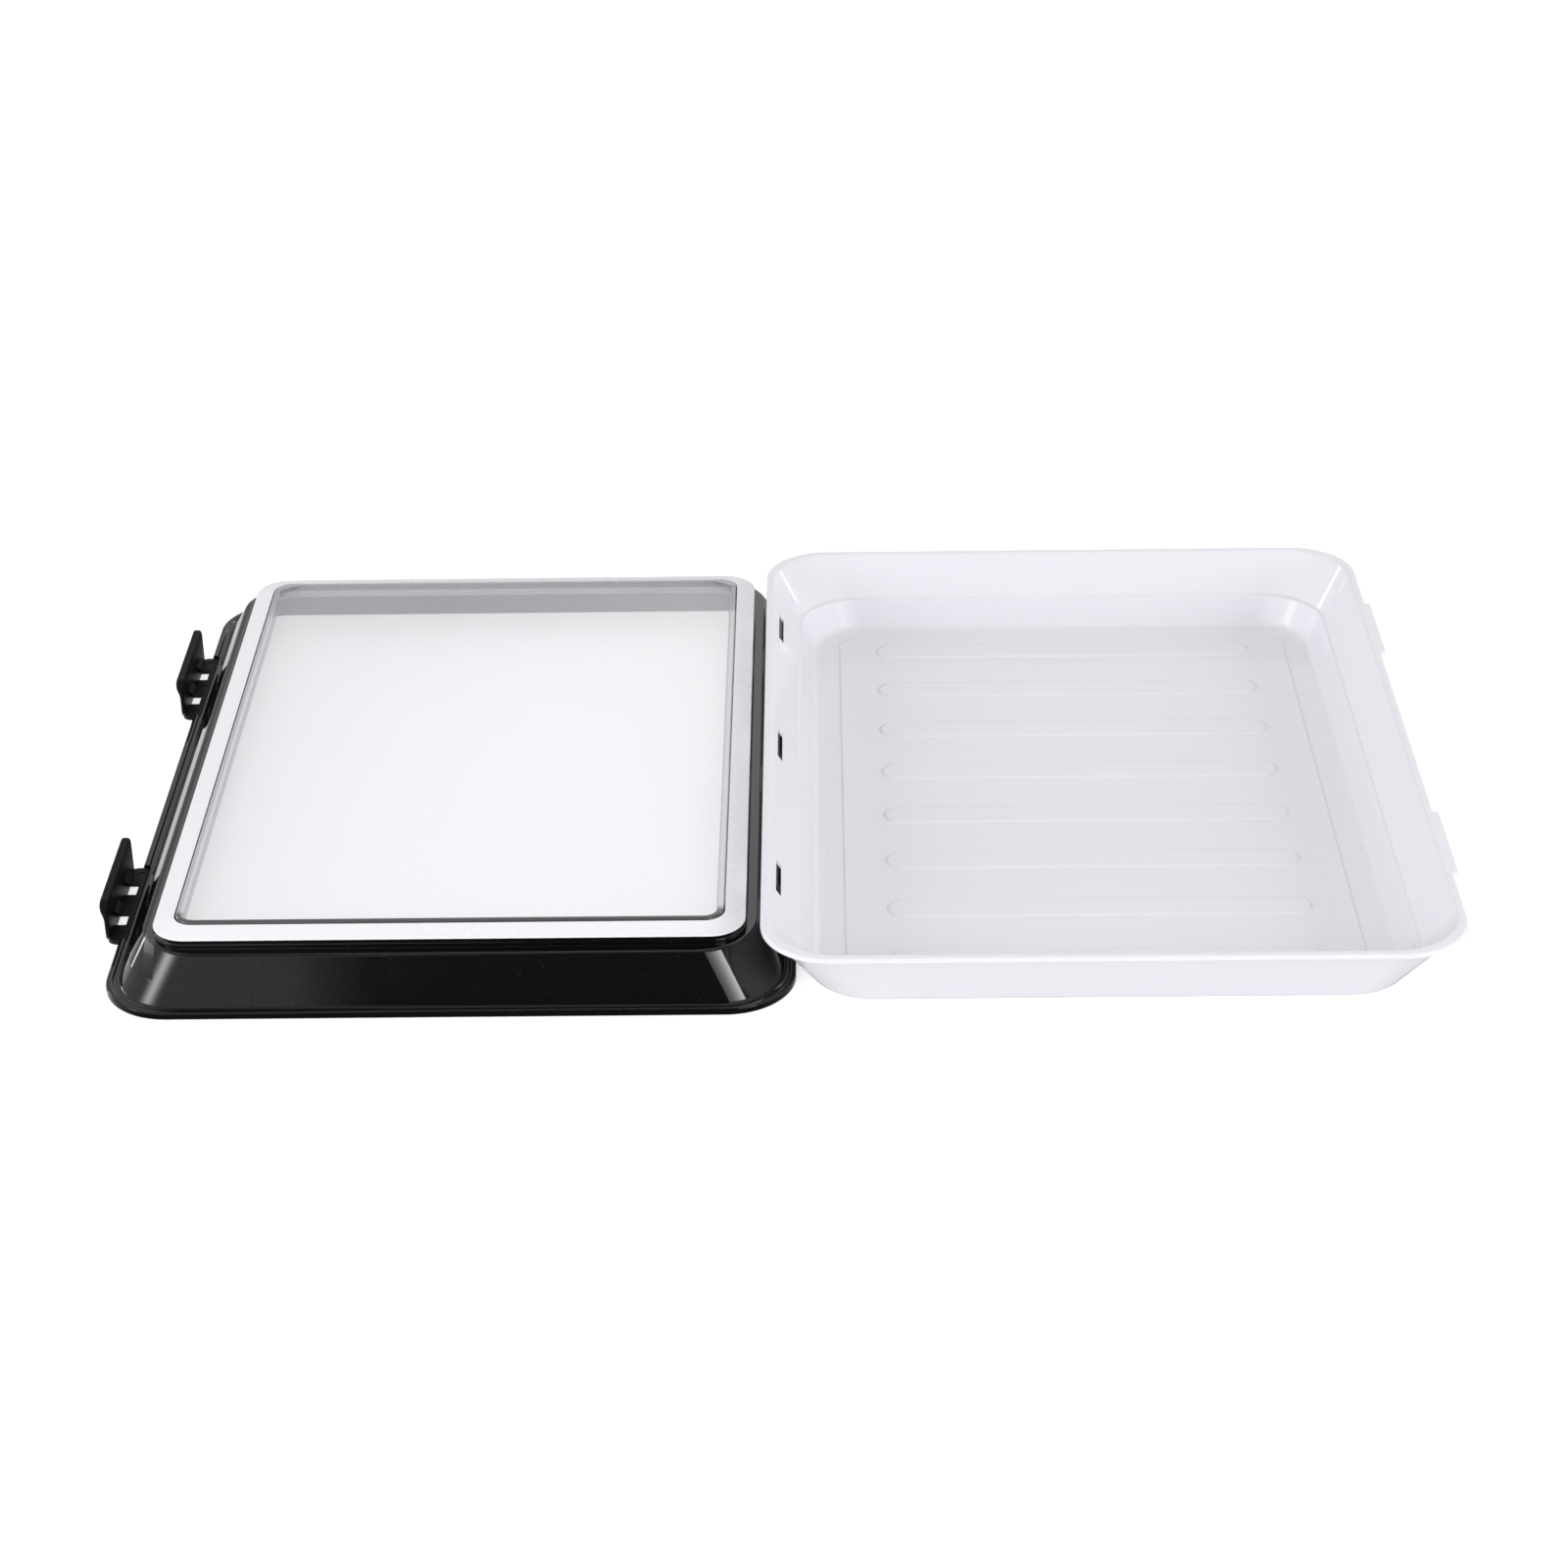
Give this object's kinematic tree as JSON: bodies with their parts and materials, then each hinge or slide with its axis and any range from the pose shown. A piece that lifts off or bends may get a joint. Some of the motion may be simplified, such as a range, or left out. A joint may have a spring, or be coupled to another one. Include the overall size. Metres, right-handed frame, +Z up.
{
  "type": "vacuum storage container",
  "caption": "Shallow food storage tray laid open beside its latching lid, which carries a stretched clear film in a frame.",
  "frame": {"origin": "on the table under the middle of the tray and the lid together", "axes": "+X from the lid to the tray, +Y away from the viewer, +Z up"},
  "size_m": [0.4556, 0.3148, 0.027],
  "materials": {
    "white_plastic": "glossy lilac white",
    "black_plastic": "glossy black",
    "white_seal": "smooth satin white",
    "clear_rim": "clear, glossy",
    "clear_film": "clear stretched film, slightly hazy"
  },
  "bodies": {
    "tray": {"tray": "white_plastic"},
    "lid": {"lid_frame": "black_plastic", "sealing_ring": "white_seal", "film_rim": "clear_rim", "stretch_film": "clear_film"},
    "latch_rear": {"latch_rear": "black_plastic"},
    "latch_front": {"latch_front": "black_plastic"}
  },
  "joints": [
    {"name": "lid_slide", "type": "slide", "parent": "tray", "child": "lid", "axis": [-1, 0, 0], "range_m": [0, 0.06]},
    {"name": "latch_rear_hinge", "type": "hinge", "parent": "lid", "child": "latch_rear", "pos_m": [-0.2204, 0.08575, 0.0008], "axis": [0, 1, 0], "range_deg": [-90, 5], "stiffness_Nm_per_rad": 0.02},
    {"name": "latch_front_hinge", "type": "hinge", "parent": "lid", "child": "latch_front", "pos_m": [-0.2204, -0.07625, 0.0008], "axis": [0, 1, 0], "range_deg": [-90, 5], "stiffness_Nm_per_rad": 0.02}
  ]
}
